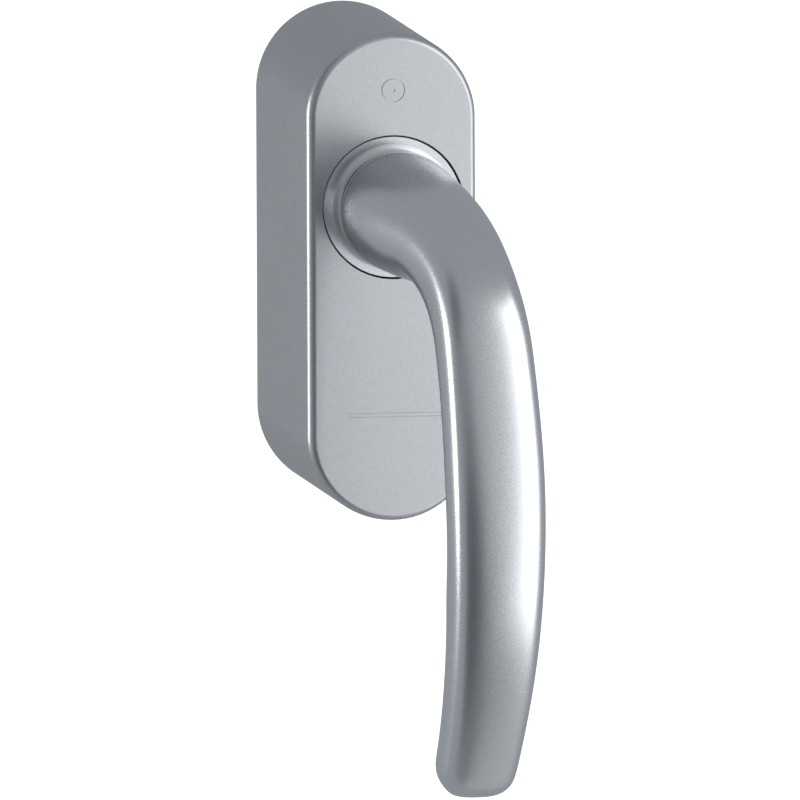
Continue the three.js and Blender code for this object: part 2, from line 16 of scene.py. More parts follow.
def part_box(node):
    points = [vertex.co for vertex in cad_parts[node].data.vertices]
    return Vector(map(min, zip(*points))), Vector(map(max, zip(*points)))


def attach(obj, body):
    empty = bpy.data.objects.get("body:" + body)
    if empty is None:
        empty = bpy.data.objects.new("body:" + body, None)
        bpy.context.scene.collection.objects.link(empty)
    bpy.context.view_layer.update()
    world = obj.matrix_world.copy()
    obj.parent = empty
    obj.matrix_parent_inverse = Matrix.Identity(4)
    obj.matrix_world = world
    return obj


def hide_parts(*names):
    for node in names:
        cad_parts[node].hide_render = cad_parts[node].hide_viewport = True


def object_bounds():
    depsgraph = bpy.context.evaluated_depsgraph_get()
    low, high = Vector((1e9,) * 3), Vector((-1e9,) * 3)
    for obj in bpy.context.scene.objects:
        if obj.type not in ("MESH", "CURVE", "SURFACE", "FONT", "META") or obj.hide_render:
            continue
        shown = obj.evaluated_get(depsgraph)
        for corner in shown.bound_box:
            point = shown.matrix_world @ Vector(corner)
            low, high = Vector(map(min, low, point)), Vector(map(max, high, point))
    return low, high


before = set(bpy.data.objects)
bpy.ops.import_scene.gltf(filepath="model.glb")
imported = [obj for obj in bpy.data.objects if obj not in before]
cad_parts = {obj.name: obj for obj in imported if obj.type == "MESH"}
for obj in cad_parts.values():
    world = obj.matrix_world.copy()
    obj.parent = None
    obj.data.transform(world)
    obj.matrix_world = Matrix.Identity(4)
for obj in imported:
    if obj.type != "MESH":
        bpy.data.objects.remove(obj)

CAD_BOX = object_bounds()
MM = 0.001
print("frame box in mm:", [[round(c / MM, 1) for c in corner] for corner in CAD_BOX])


# %% [markdown]
# ## Small helpers
# Each new piece is drawn in a bmesh, an editable mesh in memory, and then becomes an object that sits
# at the origin with its place in its vertices. Depths are counted forwards from the sash, so a depth
# of 23 mm is y = -0.023.

# %% Helpers that turn a bmesh into a piece
def finish_mesh(bm, name, sharp=30):
    """Closes a bmesh into an object whose faces are smooth up to an angle in degrees."""
    bmesh.ops.remove_doubles(bm, verts=bm.verts, dist=1e-7)
    bmesh.ops.recalc_face_normals(bm, faces=bm.faces)
    mesh = bpy.data.meshes.new(name)
    bm.to_mesh(mesh)
    bm.free()
    mesh.shade_smooth()
    mesh.set_sharp_from_angle(angle=math.radians(sharp))
    piece = bpy.data.objects.new(name, mesh)
    bpy.context.scene.collection.objects.link(piece)
    return piece


def apply_modifiers(piece):
    """Turns what the modifiers show into the piece's own mesh."""
    shown = piece.evaluated_get(bpy.context.evaluated_depsgraph_get())
    mesh = bpy.data.meshes.new_from_object(shown)
    piece.modifiers.clear()
    piece.data = mesh
    return piece


def combine(piece, *tools, operation="DIFFERENCE", sharp=30):
    """Cuts the tools from a piece, or joins them to it, and throws the tools away."""
    for tool in tools:
        boolean = piece.modifiers.new("combine", "BOOLEAN")
        boolean.operation, boolean.object, boolean.solver = operation, tool, "EXACT"
    bpy.context.view_layer.update()
    apply_modifiers(piece)
    piece.data.shade_smooth()
    piece.data.set_sharp_from_angle(angle=math.radians(sharp))
    for tool in tools:
        bpy.data.objects.remove(tool)
    return piece


def place(piece, body, material, *nodes):
    """Gives a piece its body and material, and hides the CAD nodes that it stands for."""
    weighted = piece.modifiers.new("even_faces", "WEIGHTED_NORMAL")
    weighted.keep_sharp = True
    apply_modifiers(piece)
    piece.data.materials.clear()
    piece.data.materials.append(material)
    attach(piece, body)
    if nodes:
        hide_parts(*nodes)
    print(f"{piece.name}: {len(piece.data.polygons)} faces, rides on {body}")
    return piece


# %% [markdown]
# ### Turned shapes
# Rings, bosses and screws are turned parts. A lathe in Blender is the spin operator: it carries a drawn
# section once round an axis. A Screw modifier would do it too, but spin gives the mesh at once, ready to
# be cut or joined.

# %% A lathe
def towards_room(bm):
    """Turns a shape drawn with its axis along +Z so that the axis points into the room, along -Y."""
    bmesh.ops.rotate(bm, verts=bm.verts, cent=(0, 0, 0), matrix=Matrix.Rotation(math.pi / 2, 3, "X"))


def turned(name, profile, steps=96, x=0.0, z=0.0, sharp=30):
    """Spins a profile of (radius, depth) pairs in mm, closed or from axis to axis, about the room axis."""
    bm = bmesh.new()
    corners = [bm.verts.new((radius * MM, 0, depth * MM)) for radius, depth in profile]
    for first, second in zip(corners, corners[1:]):
        bm.edges.new((first, second))
    bmesh.ops.spin(bm, geom=bm.verts[:] + bm.edges[:], cent=(0, 0, 0), axis=(0, 0, 1),
                   angle=2 * math.pi, steps=steps, use_merge=True)
    towards_room(bm)
    bmesh.ops.translate(bm, verts=bm.verts, vec=(x, 0, z))
    return finish_mesh(bm, name, sharp)


# %% [markdown]
# ## Finishes
# The outside is fine-blasted, anodised aluminium: a grey metal with a very fine grain that glitters a
# little where light catches it. An image of a blasted surface would repeat and blur, so one node group
# makes the grain from two sizes of noise, and each material uses it with its own scale and strength. It
# reads Object coordinates, in metres, so a scale of 4000 is a quarter of a millimetre.

# %% The grain as a node group
def new_group(name, inputs, outputs):
    """An empty shader group with named float or vector sockets."""
    group = bpy.data.node_groups.new(name, "ShaderNodeTree")
    for label, value in inputs:
        socket = group.interface.new_socket(label, in_out="INPUT", socket_type="NodeSocketFloat")
        socket.default_value = value
    for label, kind in outputs:
        group.interface.new_socket(label, in_out="OUTPUT", socket_type=kind)
    return group, group.nodes.new("NodeGroupInput"), group.nodes.new("NodeGroupOutput")


def feed(tree, value, socket):
    """Sets a socket to a constant, or links another socket to it."""
    if isinstance(value, bpy.types.NodeSocket):
        tree.links.new(value, socket)
    else:
        socket.default_value = value


def noise(tree, coords, scale, detail):
    """Noise of a scale and a detail."""
    node = tree.nodes.new("ShaderNodeTexNoise")
    feed(tree, detail, node.inputs["Detail"])
    feed(tree, scale, node.inputs["Scale"])
    feed(tree, coords, node.inputs["Vector"])
    return node.outputs["Fac"]


def spread(tree, value, low, high, new_low, new_high):
    """A Map Range node, which stretches a value's range onto another."""
    node = tree.nodes.new("ShaderNodeMapRange")
    feed(tree, value, node.inputs["Value"])
    for label, limit in (("From Min", low), ("From Max", high), ("To Min", new_low), ("To Max", new_high)):
        feed(tree, limit, node.inputs[label])
    return node.outputs["Result"]


def maths(tree, operation, first, second):
    """A Math node between two values."""
    node = tree.nodes.new("ShaderNodeMath")
    node.operation = operation
    feed(tree, first, node.inputs[0])
    feed(tree, second, node.inputs[1])
    return node.outputs["Value"]


COARSE_SCALE = 0.4  # the coarse noise's scale, as a share of the fine one's
FINE_SHARE, COARSE_SHARE = 0.65, 0.35
GRAIN_HEIGHT = 0.02 * MM


def make_grain_group():
    """Mixes a fine and a coarse noise into a value and a bumped normal."""
    group, given, out = new_group(
        "blasted_grain", [("Scale", 4000.0), ("Depth", 1.0)],
        [("Value", "NodeSocketFloat"), ("Normal", "NodeSocketVector")])
    coords = group.nodes.new("ShaderNodeTexCoord").outputs["Object"]
    fine = noise(group, coords, given.outputs["Scale"], detail=1.0)
    coarse_scale = maths(group, "MULTIPLY", given.outputs["Scale"], COARSE_SCALE)
    coarse = noise(group, coords, coarse_scale, detail=1.0)
    both = maths(group, "ADD", maths(group, "MULTIPLY", fine, FINE_SHARE),
                 maths(group, "MULTIPLY", coarse, COARSE_SHARE))
    bump = group.nodes.new("ShaderNodeBump")
    bump.inputs["Distance"].default_value = GRAIN_HEIGHT
    group.links.new(given.outputs["Depth"], bump.inputs["Strength"])
    group.links.new(both, bump.inputs["Height"])
    group.links.new(both, out.inputs["Value"])
    group.links.new(bump.outputs["Normal"], out.inputs["Normal"])
    return group


GRAIN = make_grain_group()
print("grain group sockets:", [item.name for item in GRAIN.interface.items_tree])


# %% [markdown]
# ### The satin aluminium
# The grain shifts both the colour and the gloss a little, and a slow noise about two centimetres wide
# adds the unevenness that handling and the anodising bath leave. Without it a large plain face looks too
# perfect. Anodising varies from casting to casting, so the housing, the collar and the lever each get
# their own tone and gloss from one recipe.

# %% A recipe for grained metal
def add_group(tree, group, **values):
    """Puts a group into a material and sets its inputs."""
    node = tree.nodes.new("ShaderNodeGroup")
    node.node_tree = group
    for label, value in values.items():
        node.inputs[label].default_value = value
    return node


def tint(tree, factor, first, second):
    """A colour between two, by a factor; a colour may be three numbers or a socket."""
    node = tree.nodes.new("ShaderNodeMix")
    node.data_type = "RGBA"
    for socket, colour in zip((node.inputs[6], node.inputs[7]), (first, second)):
        feed(tree, (*colour, 1) if isinstance(colour, tuple) else colour, socket)
    feed(tree, factor, node.inputs["Factor"])
    return node.outputs[2]


def new_material(name, **constants):
    """A Principled material; constants go on the shader's own sockets."""
    material = bpy.data.materials.new(name)
    material.use_nodes = True
    tree = material.node_tree
    shader = tree.nodes["Principled BSDF"]
    for label, value in constants.items():
        shader.inputs[label.replace("_", " ")].default_value = value
    return material, tree, shader


UNEVEN_SCALE = 45.0
GLOSS_CHANGE = 0.02  # how far the grain and the unevenness each move the roughness


def grained_metal(name, dark, light, roughness, grain_scale, grain_depth):
    """A metal whose colour and gloss vary with a blasted grain and a slow unevenness."""
    material, tree, shader = new_material(name, Metallic=1.0)
    grain = add_group(tree, GRAIN, Scale=grain_scale, Depth=grain_depth)
    coords = tree.nodes.new("ShaderNodeTexCoord").outputs["Object"]
    slow = noise(tree, coords, UNEVEN_SCALE, detail=3.0)
    tree.links.new(tint(tree, spread(tree, grain.outputs["Value"], 0.35, 0.65, 0.0, 1.0), dark, light),
                   shader.inputs["Base Color"])
    uneven = spread(tree, slow, 0.3, 0.7, roughness - GLOSS_CHANGE, roughness + GLOSS_CHANGE)
    fine = spread(tree, grain.outputs["Value"], 0.35, 0.65, -GLOSS_CHANGE, GLOSS_CHANGE)
    tree.links.new(maths(tree, "ADD", uneven, fine), shader.inputs["Roughness"])
    tree.links.new(grain.outputs["Normal"], shader.inputs["Normal"])
    return material


BLASTED = 4200.0  # scale of the fine-blasted grain

HOUSING_ALUMINIUM = grained_metal("satin_aluminium_housing", (0.60, 0.62, 0.645), (0.68, 0.70, 0.725),
                                  roughness=0.36, grain_scale=BLASTED, grain_depth=0.35)
LEVER_ALUMINIUM = grained_metal("satin_aluminium_lever", (0.745, 0.77, 0.80), (0.82, 0.84, 0.865),
                                roughness=0.27, grain_scale=BLASTED, grain_depth=0.2)
COLLAR_ALUMINIUM = grained_metal("satin_aluminium_collar", (0.77, 0.79, 0.815), (0.84, 0.86, 0.88),
                                 roughness=0.34, grain_scale=BLASTED, grain_depth=0.15)
print("aluminium finishes:", [m.name for m in (HOUSING_ALUMINIUM, LEVER_ALUMINIUM, COLLAR_ALUMINIUM)])


# %% [markdown]
# ## The housing
# The housing is a die-cast shell with an oval face, a slight draft on its walls and a rounded front
# edge. It could be carved with booleans, but an oval is quicker from a circle whose lower half is
# moved down: the two edges between the halves stretch into the straight sides. An inset with depth
# then raises the face and gives the draft, a bevel rounds the edge, and solidify makes the wall.

# %% The oval shell
COVER_LOW, COVER_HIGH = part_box("rose_cover")
RADIUS = (COVER_HIGH.x - COVER_LOW.x) / 2
DEPTH = -COVER_LOW.y
UPPER_END = COVER_HIGH.z - RADIUS
LOWER_END = COVER_LOW.z + RADIUS
DRAFT = 0.47 * MM
FRONT_EDGE = 1.5 * MM
WALL = 1.8 * MM
print("housing:", round(2 * RADIUS / MM, 1), "wide,", round((COVER_HIGH.z - COVER_LOW.z) / MM, 1), "high")


def oval_face(bm, radius, segments=96):
    """A flat oval in the xy plane with its straights along y, which is up once it faces the room."""
    bmesh.ops.create_circle(bm, cap_ends=True, segments=segments, radius=radius,
                            matrix=Matrix.Rotation(math.pi / segments, 4, "Z"))
    lower = [v for v in bm.verts if v.co.y < 0]
    bmesh.ops.translate(bm, verts=bm.verts, vec=(0, UPPER_END, 0))
    bmesh.ops.translate(bm, verts=lower, vec=(0, LOWER_END - UPPER_END, 0))
    bm.normal_update()
    return next(iter(bm.faces))


def oval_shell():
    """The open shell, drawn with its face towards +Z."""
    bm = bmesh.new()
    face = oval_face(bm, RADIUS)
    if face.normal.z < 0:
        bmesh.ops.reverse_faces(bm, faces=[face])
    bmesh.ops.inset_region(bm, faces=[face], thickness=DRAFT, depth=DEPTH, use_boundary=True,
                           use_even_offset=True)
    face = max(bm.faces, key=lambda f: f.calc_center_median().z)
    bmesh.ops.bevel(bm, geom=face.edges[:], offset=FRONT_EDGE, offset_type="OFFSET", affect="EDGES",
                    segments=8, profile=0.5, material=-1)
    bmesh.ops.solidify(bm, geom=bm.faces[:], thickness=WALL)
    towards_room(bm)
    return finish_mesh(bm, "housing_shell")


shell = oval_shell()
print("shell in mm:", [round(side / MM, 1) for side in shell.dimensions], "wall", round(WALL / MM, 1))


# %% [markdown]
# ### The opening and the engraved marks
# The lever turns in a round opening, and the face carries a few marks that are pressed in about a
# tenth of a millimetre: a small ring with a dot at the top and a plain double rule below. Bump could
# fake such marks, but cut ones catch the light from every side, so thin solids are subtracted. The
# opening's rim then gets a narrow bevel, because a tool leaves no edge that is perfectly sharp.

# %% Cut the face
OPENING = 15.6 * MM
ENGRAVING_DEPTH = 0.12 * MM
STROKE = 0.18 * MM
MARK_HEIGHT = 25.4 * MM
MARK_RADIUS = 2.5 * MM
DOT_RADIUS = 0.45 * MM
RULE_HEIGHTS = (-44.6 * MM, -45.4 * MM)
RULE_HALF_LENGTH = 10.3 * MM
PAST_WALL = 5 * MM  # how far the opening's cutter runs past the wall


def cutter_disc(radius, depth_from, depth_to, x=0.0, z=0.0, segments=96):
    """A cylinder along y between two depths."""
    bm = bmesh.new()
    middle = Matrix.Translation((x, -(depth_from + depth_to) / 2, z)) @ Matrix.Rotation(math.pi / 2, 4, "X")
    bmesh.ops.create_cone(bm, cap_ends=True, segments=segments, radius1=radius, radius2=radius,
                          depth=depth_to - depth_from, matrix=middle)
    return finish_mesh(bm, "cutter")


def cutter_bar(left, right, low, high):
    """A flat bar that reaches the engraving's depth into the face."""
    bm = bmesh.new()
    size = Vector((right - left, 2 * ENGRAVING_DEPTH, high - low))
    centre = Vector(((left + right) / 2, -DEPTH, (low + high) / 2))
    bmesh.ops.create_cube(bm, size=1, matrix=Matrix.LocRotScale(centre, None, size))
    return finish_mesh(bm, "cutter")


def cutter_ring(radius, width, z):
    """A thin ring that reaches the engraving's depth into the face."""
    inner, outer = (radius - width / 2) / MM, (radius + width / 2) / MM
    low, high = (DEPTH - ENGRAVING_DEPTH) / MM, (DEPTH + ENGRAVING_DEPTH) / MM
    section = [(inner, low), (outer, low), (outer, high), (inner, high), (inner, low)]
    return turned("cutter", section, steps=48, z=z)


cutters = [cutter_disc(OPENING, PAST_WALL, DEPTH + PAST_WALL)]
cutters.append(cutter_ring(MARK_RADIUS, STROKE, MARK_HEIGHT))
cutters.append(cutter_disc(DOT_RADIUS, DEPTH - ENGRAVING_DEPTH, DEPTH + ENGRAVING_DEPTH, z=MARK_HEIGHT,
                           segments=24))
for rule_z in RULE_HEIGHTS:
    cutters.append(cutter_bar(-RULE_HALF_LENGTH, RULE_HALF_LENGTH, rule_z - STROKE / 2, rule_z + STROKE / 2))
combine(shell, *cutters)


# %% Soften the opening's rim
RIM_EDGE = 0.12 * MM


def soften_edges(piece, chosen, width):
    """Bevels the edges that a test picks."""
    bm = bmesh.new()
    bm.from_mesh(piece.data)
    edges = [e for e in bm.edges if chosen(e)]
    bmesh.ops.bevel(bm, geom=edges, offset=width, offset_type="OFFSET", affect="EDGES",
                    segments=2, profile=0.5, material=-1)
    bm.to_mesh(piece.data)
    bm.free()
    piece.data.shade_smooth()
    piece.data.set_sharp_from_angle(angle=math.radians(30))
    print(piece.name, "softened edges:", len(edges))


def on_opening_rim(edge):
    """Whether both ends lie on the face's plane and on the opening's circle."""
    return all(abs(v.co.y + DEPTH) < 0.01 * MM and abs(math.hypot(v.co.x, v.co.z) - OPENING) < 0.05 * MM
               for v in edge.verts)


soften_edges(shell, on_opening_rim, RIM_EDGE)
shell.name = "housing_cover"
place(shell, "housing", HOUSING_ALUMINIUM, "rose_cover")


# %% [markdown]
# ### The collar
# A ring fills the gap between the opening and the lever's stub. On its inside it rises in a small hollow
# curve, a cove, to a narrow lip that closes round the stub. It is a turned part, so a closed profile spun
# once round the axis makes it. The cove is an arc of eight steps, which is smooth at this size.

# %% Spin the collar
COLLAR_LOW, COLLAR_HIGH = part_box("collar_ring")
COLLAR_INNER = 11.75  # radii in mm: of the bore, where the lip starts, where the flat ends
LIP_START = 12.0
COLLAR_FLAT = 13.9
COVE = 3.0
COVE_STEPS = 8
COLLAR_EDGE = 0.12


def collar_profile():
    """The collar's section, from the back of its bore outwards and round."""
    outer, back = COLLAR_HIGH.x / MM, -COLLAR_HIGH.y / MM
    end = math.asin((COLLAR_FLAT - LIP_START) / COVE)
    flat = -COLLAR_LOW.y / MM - COVE * (1 - math.cos(end))
    cove = [(COLLAR_FLAT - COVE * math.sin(a), flat + COVE * (1 - math.cos(a)))
            for a in (end * i / COVE_STEPS for i in range(COVE_STEPS + 1))]
    edge = [(outer, flat - COLLAR_EDGE), (outer - COLLAR_EDGE, flat)]
    lip = (COLLAR_INNER, -COLLAR_LOW.y / MM)
    return [(COLLAR_INNER, back), (outer, back)] + edge + cove + [lip, (COLLAR_INNER, back)]


collar = turned("collar", collar_profile())
place(collar, "housing", COLLAR_ALUMINIUM, "collar_ring")


# %% [markdown]
# ## The lever
# The lever is one casting: a turned stub, a round neck, a knuckle and a grip that is nearly a rounded
# rectangle. Such a shape could be sculpted or skinned from curves. Here one ring is extruded again and
# again along the middle line, and each new ring is given its width, thickness and squareness, which
# keeps the edges running with the shape. A subdivision surface then makes it flow.

# %% The middle line and the sections
RIM_DEPTH = 25.6
STRAIGHT_DEPTH = 39.0
KNUCKLE_RADIUS = 23.2
KNUCKLE_TURN = math.radians(75.5)
BOW_RADIUS = 155.7
GRIP_LENGTH = 99.6
TIP_ROUNDING = 6.2
STRAIGHT = STRAIGHT_DEPTH - RIM_DEPTH
KNUCKLE_LENGTH = KNUCKLE_RADIUS * KNUCKLE_TURN
LEVER_LENGTH = STRAIGHT + KNUCKLE_LENGTH + GRIP_LENGTH
# length along the lever from the neck's rim, half width, half thickness, squareness (2 is an ellipse)
SECTIONS = (
    (0, 13.2, 13.2, 2.0),
    (10, 12.2, 12.1, 2.0),
    (20, 10.56, 10.12, 2.15),
    (30, 9.38, 8.12, 2.6),
    (44, 9.5, 5.85, 3.0),
    (74, 9.9, 5.15, 3.0),
    (104, 9.25, 4.95, 3.0),
    (128, 8.25, 4.65, 3.0),
    (145, 7.75, 4.35, 3.0),
)
WAVE_AT, WAVE_SPREAD, WAVE_HEIGHT = 97.0, 7.0, 0.8  # a low swell on the back of the grip


def spine_at(length):
    """Depth, height and lean of the middle line at a length from the rim, in mm and radians."""
    if length < STRAIGHT:
        return RIM_DEPTH + length, 0.0, 0.0
    lean = min((length - STRAIGHT) / KNUCKLE_RADIUS, KNUCKLE_TURN)
    depth = STRAIGHT_DEPTH + KNUCKLE_RADIUS * math.sin(lean)
    z = -KNUCKLE_RADIUS * (1 - math.cos(lean))
    along = length - STRAIGHT - KNUCKLE_LENGTH
    if along > 0:
        lean = KNUCKLE_TURN + along / BOW_RADIUS
        depth += BOW_RADIUS * (math.sin(lean) - math.sin(KNUCKLE_TURN))
        z -= BOW_RADIUS * (math.cos(KNUCKLE_TURN) - math.cos(lean))
    return depth, z, lean


def section_at(length):
    """Half width, half thickness and squareness, on smooth curves through the listed sections."""
    last = len(SECTIONS) - 1
    after = max(1, next((i for i, row in enumerate(SECTIONS) if row[0] >= length), last))

    def slope(i, column):
        first, second = SECTIONS[max(0, i - 1)], SECTIONS[min(last, i + 1)]
        return (second[column] - first[column]) / (second[0] - first[0])

    a, b = SECTIONS[after - 1], SECTIONS[after]
    span = b[0] - a[0]
    t = (length - a[0]) / span
    values = []
    for column in (1, 2, 3):
        value = a[column] * (1 + 2 * t) * (1 - t) ** 2 + b[column] * (3 - 2 * t) * t ** 2
        bend = slope(after - 1, column) * t * (1 - t) ** 2 - slope(after, column) * (1 - t) * t ** 2
        values.append(value + span * bend)
    return values


print("lever length along its middle line:", round(LEVER_LENGTH, 1), "mm")


# %% [markdown]
# ### Extruding the rings
# A subdivision surface shrinks a ring of corners a little, so the rings are drawn larger by a known
# factor. The turned stub must keep its steps, and a crease on a ring's edges holds the surface there.
# The rings start inside, at the bottom of the spindle's socket, so that the socket is part of the same
# closed skin and needs no boolean.

# %% Extrude the ring along the lever
RING = 24
CAGE = 6 / (4 + 2 * math.cos(2 * math.pi / RING))  # how much a ring shrinks when it is subdivided


def ring_place(depth, z, lean, wide, thick):
    """Where a unit circle goes: its x across the lever, its y outwards and its z along the lever."""
    across = Vector((wide, 0, 0))
    outwards = Vector((0, -math.sin(lean), math.cos(lean))) * thick
    along = Vector((0, -math.cos(lean), -math.sin(lean)))
    matrix = Matrix((across, outwards, along)).transposed().to_4x4() * MM
    matrix.translation = Vector((0, -depth, z)) * MM
    return matrix


def squared(point, power, wave=0.0):
    """A point of the unit circle moved onto a rounded square, with a swell on its under side."""
    x = math.copysign(abs(point.x) ** (2 / power), point.x)
    y = math.copysign(abs(point.y) ** (2 / power), point.y)
    return Vector((x, y * (1 + wave) if y < 0 else y, 0))


def loft(name, rings):
    """Extrudes a unit circle through rings of (matrix, power, wave, crease) and caps both ends."""
    bm = bmesh.new()
    crease = bm.edges.layers.float.new("crease_edge")
    circle = bmesh.ops.create_circle(bm, cap_ends=False, segments=RING, radius=1)["verts"]
    unit = [v.co.copy() for v in circle]
    edges = bm.edges[:]
    for number, (matrix, power, wave, sharpness) in enumerate(rings):
        if number:
            grown = bmesh.ops.extrude_edge_only(bm, edges=edges)["geom"]
            fresh = [g for g in grown if isinstance(g, bmesh.types.BMVert)]
            copies = {next(e.other_vert(v) for e in v.link_edges if e.other_vert(v) in circle): v
                      for v in fresh}
            circle = [copies[v] for v in circle]
            edges = [e for e in grown if isinstance(e, bmesh.types.BMEdge) and e.verts[0] in fresh
                     and e.verts[1] in fresh]
        for v, point in zip(circle, unit):
            v.co = matrix @ (squared(point, power, wave) * CAGE)
        for e in edges:
            e[crease] = sharpness
    bmesh.ops.holes_fill(bm, edges=bm.edges[:], sides=RING)
    return finish_mesh(bm, name)


# depth, radius, squareness and crease, from the socket's bottom out of its mouth and along the stub
STUB = (
    (31.5, 3.65, 14, 1),
    (12.3, 3.65, 14, 1),
    (12.3, 9.7, 2, 1),
    (12.6, 10.0, 2, 1),
    (12.8, 10.0, 2, 1),
    (12.8, 8.8, 2, 1),
    (13.8, 8.8, 2, 1),
    (13.8, 10.0, 2, 1),
    (20.4, 10.0, 2, 1),
    (20.4, 11.6, 2, 1),
    (RIM_DEPTH, 11.6, 2, 1),
    (RIM_DEPTH, 12.85, 2, 0.8),
)
RIM_EASE = 0.35  # length at which the first ring of the neck eases the rim
BODY_STEPS = 40
TIP_STEPS = (0.4, 0.7, 0.88, 0.97, 1)  # shares of the tip's rounding
THINNEST = 0.15  # share of the thickness that is left at the very tip


def lever_ring(length):
    """The ring at a length from the rim, drawn in where the tip is rounded."""
    wide, thick, power = section_at(length)
    from_tip = min(1.0, (LEVER_LENGTH - length) / TIP_ROUNDING)
    rounding = math.sqrt(max(0.0, 1 - (1 - from_tip) ** 2))
    wide -= TIP_ROUNDING * (1 - rounding)
    thick *= max(rounding, THINNEST)
    wave = WAVE_HEIGHT * math.exp(-((length - WAVE_AT) / WAVE_SPREAD) ** 2) / thick
    return ring_place(*spine_at(length), wide, thick), power, wave, 0


def make_lever():
    """Lofts the stub and the lever's body as one skin and lets a subdivision surface round it."""
    rings = [(ring_place(depth, 0, 0, radius, radius), power, 0, crease)
             for depth, radius, power, crease in STUB]
    body_length = LEVER_LENGTH - TIP_ROUNDING
    rings.append(lever_ring(RIM_EASE))
    rings += [lever_ring(body_length * i / BODY_STEPS) for i in range(1, BODY_STEPS + 1)]
    rings += [lever_ring(LEVER_LENGTH - TIP_ROUNDING * (1 - share)) for share in TIP_STEPS]
    piece = loft("lever", rings)
    surface = piece.modifiers.new("surface", "SUBSURF")
    surface.levels = surface.render_levels = 2
    apply_modifiers(piece)
    piece.data.shade_smooth()
    piece.data.set_sharp_from_angle(angle=math.radians(35))
    return piece


# %% [markdown]
# ### The hole for the cross pin
# A pin goes across the stub and through the spindle, so both get the same hole. On the bench they are
# drilled together, and here one function makes the drill for each.

# %% Drill the lever
PIN_HOLE_RADIUS = 1.65 * MM
PIN_DEPTH = 17 * MM
DRILL_LENGTH = 24 * MM


def pin_hole_cutter():
    """A drill across the stub, along x."""
    bm = bmesh.new()
    across = Matrix.Translation((0, -PIN_DEPTH, 0)) @ Matrix.Rotation(math.pi / 2, 4, "Y")
    bmesh.ops.create_cone(bm, cap_ends=True, segments=32, radius1=PIN_HOLE_RADIUS, radius2=PIN_HOLE_RADIUS,
                          depth=DRILL_LENGTH, matrix=across)
    return finish_mesh(bm, "pin_hole")


lever = make_lever()
combine(lever, pin_hole_cutter(), sharp=35)
place(lever, "handle", LEVER_ALUMINIUM, "lever_handle")


# %% [markdown]
# ## What holds it on the window
# Behind the housing sit a cast base plate with two round bosses, two countersunk screws and the square
# spindle. The plate is the housing's oval again, smaller and with thickness, joined to turned bosses by
# booleans, as a pattern maker would add them. A live Bevel could break its edges, but a small bevel in
# the profiles costs fewer faces and never fails at a corner.

# %% The base plate
PLATE_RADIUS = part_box("base_plate")[1].x
PLATE_THICKNESS = 2.6 * MM
PLATE_EDGE = 0.3 * MM
SCREW_SPREAD = 21.5 * MM
BOSS_RADIUS = 5.9
BOSS_LENGTH = 8.0
BOSS_CHAMFER = 0.8
WINDOW_RADIUS = 5.8 * MM
STAND_PLACE = (12.5 * MM, -31 * MM)
INTO_PLATE = 2.1  # depth at which ribs and stands start, inside the plate so that the union is clean


def oval_plate(radius, thickness, edge):
    """A flat oval with broken edges, from the sash plane forwards."""
    bm = bmesh.new()
    face = oval_face(bm, radius)
    if face.normal.z < 0:
        bmesh.ops.reverse_faces(bm, faces=[face])
    raised = bmesh.ops.extrude_face_region(bm, geom=[face])["geom"]
    front = [g for g in raised if isinstance(g, bmesh.types.BMVert)]
    bmesh.ops.translate(bm, verts=front, vec=(0, 0, thickness))
    rims = [e for e in bm.edges if abs(e.verts[0].co.z - e.verts[1].co.z) < 1e-6]
    bmesh.ops.bevel(bm, geom=rims, offset=edge, offset_type="OFFSET", affect="EDGES", segments=2,
                    profile=0.5, material=-1)
    towards_room(bm)
    return finish_mesh(bm, "plate")


def box_piece(name, low, high):
    """A plain block between two corners in mm of x, depth and z, for a rib or a cutter."""
    bm = bmesh.new()
    (left, back, bottom), (right, front, top) = low, high
    centre = Vector(((left + right) / 2, -(back + front) / 2, (bottom + top) / 2)) * MM
    size = Vector((right - left, front - back, top - bottom)) * MM
    bmesh.ops.create_cube(bm, size=1, matrix=Matrix.LocRotScale(centre, None, size))
    return finish_mesh(bm, name)


# sections as (radius, depth) in mm
BOSS = [(0, -BOSS_LENGTH), (BOSS_RADIUS - BOSS_CHAMFER, -BOSS_LENGTH),
        (BOSS_RADIUS, BOSS_CHAMFER - BOSS_LENGTH), (BOSS_RADIUS, 0.5), (0, 0.5)]
COUNTERSINK = [(0, -10), (2.7, -10), (2.7, -0.3), (5.0, 2.0), (5.0, 4.0), (0, 4.0)]
STAND = [(0, INTO_PLATE), (2.4, INTO_PLATE), (2.4, 8.1), (0, 8.1)]
TAPPED_HOLE = [(0, 3), (1.3, 3), (1.3, 9), (0, 9)]
RAIL_LOW, RAIL_HIGH = (7.4, INTO_PLATE, -45), (9, 7.0, -36)

plate = oval_plate(PLATE_RADIUS, PLATE_THICKNESS, PLATE_EDGE)
additions, holes = [], [cutter_disc(WINDOW_RADIUS, -PAST_WALL, PAST_WALL)]
for side in (1, -1):
    additions.append(turned("boss", BOSS, steps=64, z=side * SCREW_SPREAD))
    holes.append(turned("sink", COUNTERSINK, steps=64, z=side * SCREW_SPREAD))
    left, right = sorted((side * RAIL_LOW[0], side * RAIL_HIGH[0]))
    additions.append(box_piece("rail", (left, *RAIL_LOW[1:]), (right, *RAIL_HIGH[1:])))
    stand_x, stand_z = side * STAND_PLACE[0], STAND_PLACE[1]
    additions.append(turned("stand", STAND, steps=32, x=stand_x, z=stand_z))
    holes.append(turned("tapped", TAPPED_HOLE, steps=24, x=stand_x, z=stand_z))
combine(plate, *additions, operation="UNION")
combine(plate, *holes)
plate.name = "sash_plate"
print("plate faces:", len(plate.data.polygons))


# %% [markdown]
# ### Screws
# Each screw is a countersunk machine screw. The core is a turned profile. The thread is one small
# triangle that spin carries round the axis while dvec lifts it a little at every step, which is exactly
# what a helix is. A texture could suggest a thread, but it would not show in the outline.

